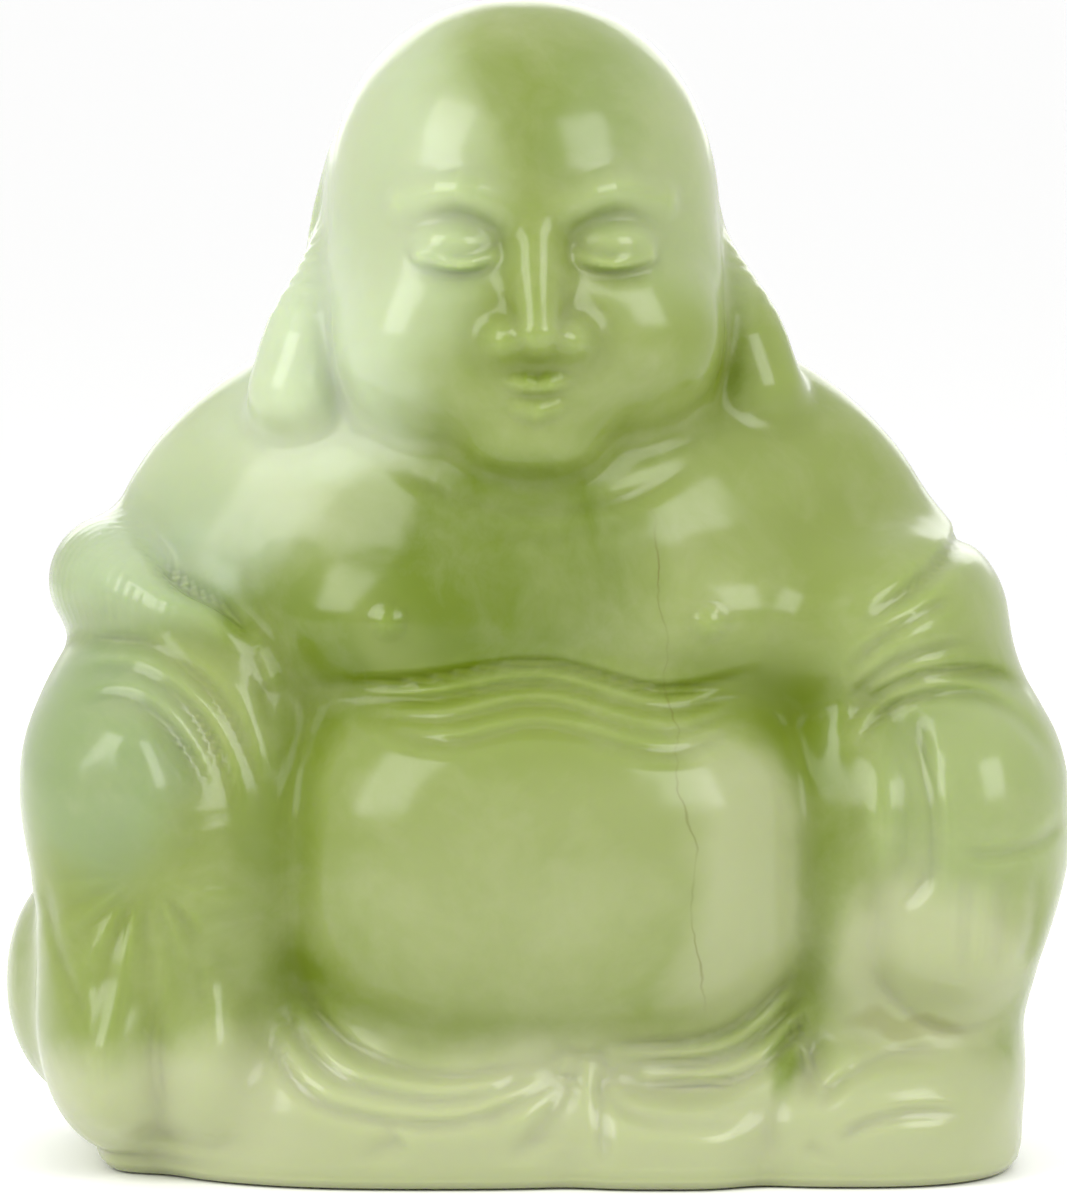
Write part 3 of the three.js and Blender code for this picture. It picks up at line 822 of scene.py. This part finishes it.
# %% Choose the diagonals and close the ends
def side_triangles(rows, columns):
    """Two triangles for every four neighbours a, b, c, d, cut from a to c or from b to d."""
    row, column = np.meshgrid(np.arange(rows - 1), np.arange(columns), indexing="ij")
    a = (row * columns + column).ravel()
    b = (row * columns + (column + 1) % columns).ravel()
    c, d = b + columns, a + columns
    gap_ac = np.abs(carved((points[a] + points[c]) / 2))
    gap_bd = np.abs(carved((points[b] + points[d]) / 2))
    cut_ac = np.stack([a, b, c, a, c, d], 1)
    cut_bd = np.stack([a, b, d, b, c, d], 1)
    return np.where((gap_ac < gap_bd)[:, None], cut_ac, cut_bd).reshape(-1, 3)


def end_triangles(rows, columns):
    """A fan from the point under the base to the lowest ring, and one from the crown to the top."""
    ring = np.arange(columns)
    beyond = (ring + 1) % columns
    under, crown = rows * columns, rows * columns + 1
    last = (rows - 1) * columns
    base = np.stack([np.full(columns, under), beyond, ring], 1)
    top = np.stack([np.full(columns, crown), last + ring, last + beyond], 1)
    return np.concatenate([base, top])


def in_place(places):
    """Millimetres to metres, with the middle of the width and depth over that of the solid."""
    placed = places * MM
    placed[:, :2] += (np.add(low, high)[:2] - placed.min(0)[:2] - placed.max(0)[:2]) / 2
    return placed


def make_piece(name, rows, columns):
    """The closed mesh, with its true normals above the rounded foot and the hollows on its points."""
    ends = np.array([[0, 0, 0], [*HEAD_MIDDLE, CROWN]], np.float32)
    faces = np.concatenate([side_triangles(rows, columns), end_triangles(rows, columns)])
    mesh = bpy.data.meshes.new(name)
    mesh.from_pydata(in_place(np.concatenate([points, ends])).tolist(), [], faces.tolist())
    mesh.shade_smooth()
    shading = np.empty((len(points) + 2, 3), np.float32)
    mesh.vertices.foreach_get("normal", shading.ravel())
    free = FINE_RIM * columns
    shading[free:len(points)] = normals[free:]
    mesh.normals_split_custom_set_from_vertices(shading)
    values = np.append(hollow, [0, 0]).astype(np.float32)
    mesh.attributes.new("hollow", "FLOAT", "POINT").data.foreach_set("value", values)
    piece = bpy.data.objects.new(name, mesh)
    bpy.context.collection.objects.link(piece)
    return piece


buddha = make_piece("carved_buddha", *skin.shape[:2])
print("triangles:", len(buddha.data.polygons))

# %% [markdown]
# ## The stone
#
# The stone is a pale green serpentine: a clear yellow-green body with milky clouds drifting through
# it, a few darker patches where it is thick, and one fine brown fissure. Other darker patches are
# painted shade: deep green laid in the valleys beside the belly and in a small scoop by the lap.
# Light goes into it and comes out again nearby, so subsurface scattering gives most of the look, and
# a hard polish on top mirrors the soft boxes. Because the carver cut one block, the clouds run
# through the figure without regard to its limbs, so they are patterns in space, not on the surface.
# Only the painted shade of the hollows, a deeper green, follows the surface, from the number
# measured before.

# %% Colours of the stone and where its clouds lie
CLEAR = (0.210, 0.262, 0.061)
# Deep green: the stone's own darker colour where it is thick, and also used as painted shade in hollows,
# valleys and the scoop.
DEEP = (0.121, 0.175, 0.004)
MILK = (0.465, 0.530, 0.370)
WARM_MILK = (0.372, 0.398, 0.226)
COOL_MILK = (0.235, 0.315, 0.200)
IRON_BROWN = (0.205, 0.212, 0.050)

CLOUDS = [
    # colour, strength, centre in mm, radii in mm
    (WARM_MILK, 0.90, (0.0, -8.0, 0.5), (40.0, 24.0, 9.0)),
    (WARM_MILK, 0.50, (3.0, -14.0, 4.0), (14.0, 9.0, 5.0)),
    (WARM_MILK, 0.70, (20.0, -10.0, 3.0), (8.0, 12.0, 7.0)),
    (WARM_MILK, 0.70, (10.4, -13.0, 15.0), (5.0, 6.0, 10.0)),
    (WARM_MILK, 0.25, (1.0, -14.0, 15.0), (13.0, 8.0, 9.0)),
    (WARM_MILK, 0.90, (20.2, -12.0, 11.2), (6.6, 8.0, 6.6)),
    (WARM_MILK, 1.00, (-19.0, -12.0, 3.0), (10.0, 10.0, 6.0)),
    (MILK, 0.66, (-10.0, -4.0, 49.0), (11.0, 18.0, 17.0)),
    (MILK, 0.55, (-10.0, -4.0, 41.0), (8.0, 12.0, 8.0)),
    (MILK, 0.58, (-17.5, -6.0, 35.5), (9.0, 13.0, 8.0)),
    (MILK, 0.28, (-20.0, -6.0, 30.5), (9.0, 13.0, 3.6)),
    (COOL_MILK, 0.45, (-22.5, -11.0, 22.5), (7.0, 10.0, 8.0)),
    (COOL_MILK, 0.30, (-20.0, -6.0, 31.0), (12.0, 13.0, 6.0)),
    (MILK, 0.20, (22.0, -10.0, 20.0), (7.0, 9.0, 7.0)),
    (MILK, 0.08, (21.0, -6.0, 28.0), (8.0, 12.0, 7.0)),
    (MILK, 0.26, (7.0, -6.0, 52.0), (8.0, 12.0, 11.0)),
    (MILK, 0.50, (9.0, 12.0, 44.0), (11.0, 10.0, 13.0)),
    (MILK, 0.40, (-15.0, 14.0, 26.0), (12.0, 12.0, 8.0)),
    (WARM_MILK, 0.60, (14.0, 14.0, 8.0), (16.0, 12.0, 11.0)),
    (DEEP, 1.00, (-1.5, -10.0, 31.5), (10.0, 9.0, 6.5)),
    (DEEP, 0.75, (-11.5, -9.0, 26.5), (5.0, 9.0, 5.0)),
    (DEEP, 0.40, (1.8, -8.0, 55.0), (5.5, 8.0, 6.0)),
    # Painted shade: deep green in the valleys between the belly and the arms, on both sides.
    (DEEP, 0.40, (-13.0, -8.0, 19.0), (3.5, 8.0, 8.0)),
    (DEEP, 0.50, (14.4, -9.0, 19.0), (3.0, 6.0, 10.0)),
    (DEEP, 0.60, (-4.0, 16.0, 16.0), (9.0, 8.0, 9.0)),
    # Painted shade: deep green in the small scoop low on the viewer's right, by the lap.
    (DEEP, 0.80, (13.6, -13.0, 7.0), (1.8, 4.0, 3.2)),
    (IRON_BROWN, 0.35, (19.6, -12.0, 8.6), (3.8, 6.0, 0.8)),
]
CLOUD_CORE = 0.5
CLOUD_DRIFTS = [
    # noise scale per metre, push in metres
    (90.0, 0.006),
    (320.0, 0.0016),
]
WISP_NOISE = {"Scale": 110.0, "Detail": 6.0, "Roughness": 0.62}
WISP_SPAN = (0.45, 0.8)
WISP_STRENGTH = 0.5

FISSURE_FOOT = 9.8
FISSURE_LEAN = 0.112
FISSURE_HALF_WIDTH = 0.10
FISSURE_ENDS = (8.8, 34.5)
FISSURE_FADE = 3.0
FISSURE_FRONT = (-4.0, -8.0)
FISSURE_DRIFT = (260.0, 0.0022)
FISSURE_BREAKS = {"Scale": 300.0, "Detail": 2.0}
FISSURE_SPAN = (0.38, 0.62)
FISSURE_BROWN = (0.130, 0.118, 0.022)
FISSURE_STRENGTH = (0.15, 0.66)


class Patch:
    """A small helper that adds shader nodes and joins them up by name."""

    def __init__(self, tree):
        self.tree = tree

    def add(self, kind, inputs=None, **settings):
        """Adds a node. A value that is a socket is linked, and any other value is set."""
        node = self.tree.nodes.new("ShaderNode" + kind)
        for name, value in settings.items():
            setattr(node, name, value)
        for key, value in (inputs or {}).items():
            if isinstance(value, bpy.types.NodeSocket):
                self.tree.links.new(value, node.inputs[key])
            else:
                node.inputs[key].default_value = value
        return node

    def math(self, operation, *values):
        """A Math node and its answer."""
        node = self.add("Math", dict(enumerate(values)), operation=operation)
        return node.outputs[0]

    def span(self, value, start, end, low=0.0, high=1.0, **settings):
        """A Map Range node: low at start, high at end, and in proportion between."""
        inputs = {"Value": value, "From Min": start, "From Max": end, "To Min": low, "To Max": high}
        return self.add("MapRange", inputs, **settings).outputs["Result"]

    def mix(self, share, first, second):
        """A blend of two colours."""
        node = self.add("Mix", {0: share, 6: first, 7: second}, data_type="RGBA")
        return node.outputs[2]


def cloud(patch, place, centre, radii):
    """1 in the core of an ellipsoid and 0 at its edge: a spherical gradient in a scaled space."""
    scale = [1 / (r * MM) for r in radii]
    shift = [-c * MM * s for c, s in zip(centre, scale)]
    mapped = patch.add("Mapping", {"Vector": place, "Location": shift, "Scale": scale})
    gradient = patch.add("TexGradient", {"Vector": mapped.outputs[0]}, gradient_type="SPHERICAL")
    return patch.span(gradient.outputs["Fac"], 0.0, CLOUD_CORE, interpolation_type="SMOOTHSTEP")


def drifting_place(patch, coordinates, scale, amount):
    """The coordinates pushed about by soft noise, so a cloud's edge wanders."""
    noise = patch.add("TexNoise", {"Vector": coordinates, "Scale": scale, "Detail": 3.0})
    half = (0.5, 0.5, 0.5)
    centred = patch.add("VectorMath", {0: noise.outputs["Color"], 1: half}, operation="SUBTRACT")
    pushed = patch.add("VectorMath", {0: centred.outputs[0], "Scale": amount}, operation="SCALE")
    moved = patch.add("VectorMath", {0: coordinates, 1: pushed.outputs[0]}, operation="ADD")
    return moved.outputs[0]


def fissure(patch, coordinates):
    """A broken hairline near the plane x = FISSURE_FOOT - FISSURE_LEAN * z, in front only."""
    place = drifting_place(patch, coordinates, *FISSURE_DRIFT)
    x, y, z = patch.add("SeparateXYZ", {"Vector": place}).outputs
    line = patch.math("MULTIPLY_ADD", z, FISSURE_LEAN, -FISSURE_FOOT * MM)
    off = patch.math("ABSOLUTE", patch.math("ADD", x, line))
    thin = patch.span(off, FISSURE_HALF_WIDTH * MM, 0.0)
    bottom, top = FISSURE_ENDS
    above = patch.span(z, bottom * MM, (bottom + FISSURE_FADE) * MM)
    below = patch.span(z, top * MM, (top - FISSURE_FADE) * MM)
    behind, before = FISSURE_FRONT
    front = patch.span(y, behind * MM, before * MM)
    breaks = patch.add("TexNoise", {"Vector": coordinates, **FISSURE_BREAKS})
    seen = patch.span(breaks.outputs["Fac"], *FISSURE_SPAN, *FISSURE_STRENGTH)
    share = thin
    for part in (above, below, front, seen):
        share = patch.math("MULTIPLY", share, part)
    return share


# %% Colour the stone: painted shade deeper in the hollows, then the clouds, the wisps and the fissure
# How far the hollows are darkened towards deep green: painted shade, not a colour of the stone.
HOLLOW_SPAN = (0.04, 0.6)
PAINTED_HOLLOW_SHADE = 0.78


def stone_colour(patch, place, sunk):
    """Clear green mixed towards each layer in turn, by that layer's share at each place."""
    drifted = place
    for drift in CLOUD_DRIFTS:
        drifted = drifting_place(patch, drifted, *drift)
    # Painted shade: the hollows are darkened towards deep green, in place of the light that passes between
    # groove walls.
    shade = patch.math("MULTIPLY", sunk, PAINTED_HOLLOW_SHADE)
    colour = patch.mix(shade, (*CLEAR, 1), (*DEEP, 1))
    for tint, strength, centre, radii in CLOUDS:
        share = patch.math("MULTIPLY", cloud(patch, drifted, centre, radii), strength)
        colour = patch.mix(share, colour, (*tint, 1))
    wisps = patch.add("TexNoise", {"Vector": drifted, **WISP_NOISE}).outputs["Fac"]
    wispy = patch.span(wisps, *WISP_SPAN, 0.0, WISP_STRENGTH)
    colour = patch.mix(wispy, colour, (*WARM_MILK, 1))
    return patch.mix(fissure(patch, place), colour, (*FISSURE_BROWN, 1))


# %% Polish it and let the light in
POLISH = (0.12, 0.26)
POLISH_MARKS = {"Scale": 420.0, "Detail": 4.0}
MIRROR_ON_HIGH, MIRROR_IN_HOLLOW = 0.40, 0.05
WAVES = {"Scale": 240.0, "Detail": 2.0}
WAVE_BUMP = {"Strength": 0.25, "Distance": 0.0003}
GLOW_REACH = 0.0014
GLOW_COLOURS = (1.0, 1.3, 0.45)
STONE_IOR = 1.50


def green_stone():
    """The stone's colour under a hard polish, with light that enters and comes out nearby."""
    material = bpy.data.materials.new("green_stone_polished")
    material.use_nodes = True
    patch = Patch(material.node_tree)
    shader = material.node_tree.nodes["Principled BSDF"]
    place = patch.add("TexCoord").outputs["Object"]
    hollow = patch.add("Attribute", attribute_name="hollow").outputs["Fac"]
    sunk = patch.span(hollow, *HOLLOW_SPAN, interpolation_type="SMOOTHSTEP")
    marks = patch.add("TexNoise", {"Vector": place, **POLISH_MARKS}).outputs["Fac"]
    waves = patch.add("TexNoise", {"Vector": place, **WAVES}).outputs["Fac"]
    driven = {
        "Base Color": stone_colour(patch, place, sunk),
        "Roughness": patch.span(marks, 0.0, 1.0, *POLISH),
        "Specular IOR Level": patch.span(sunk, 0.0, 1.0, MIRROR_ON_HIGH, MIRROR_IN_HOLLOW),
        "Normal": patch.add("Bump", {"Height": waves, **WAVE_BUMP}).outputs["Normal"],
    }
    for name, socket in driven.items():
        material.node_tree.links.new(socket, shader.inputs[name])
    shader.inputs["Subsurface Weight"].default_value = 1.0
    shader.inputs["Subsurface Radius"].default_value = GLOW_COLOURS
    shader.inputs["Subsurface Scale"].default_value = GLOW_REACH
    shader.inputs["IOR"].default_value = STONE_IOR
    return material


buddha.data.materials.append(green_stone())
print("stone:", buddha.data.materials[0].name)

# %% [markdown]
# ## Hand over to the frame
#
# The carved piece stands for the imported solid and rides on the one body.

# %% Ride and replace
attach(buddha, "root")
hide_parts(CARVING)
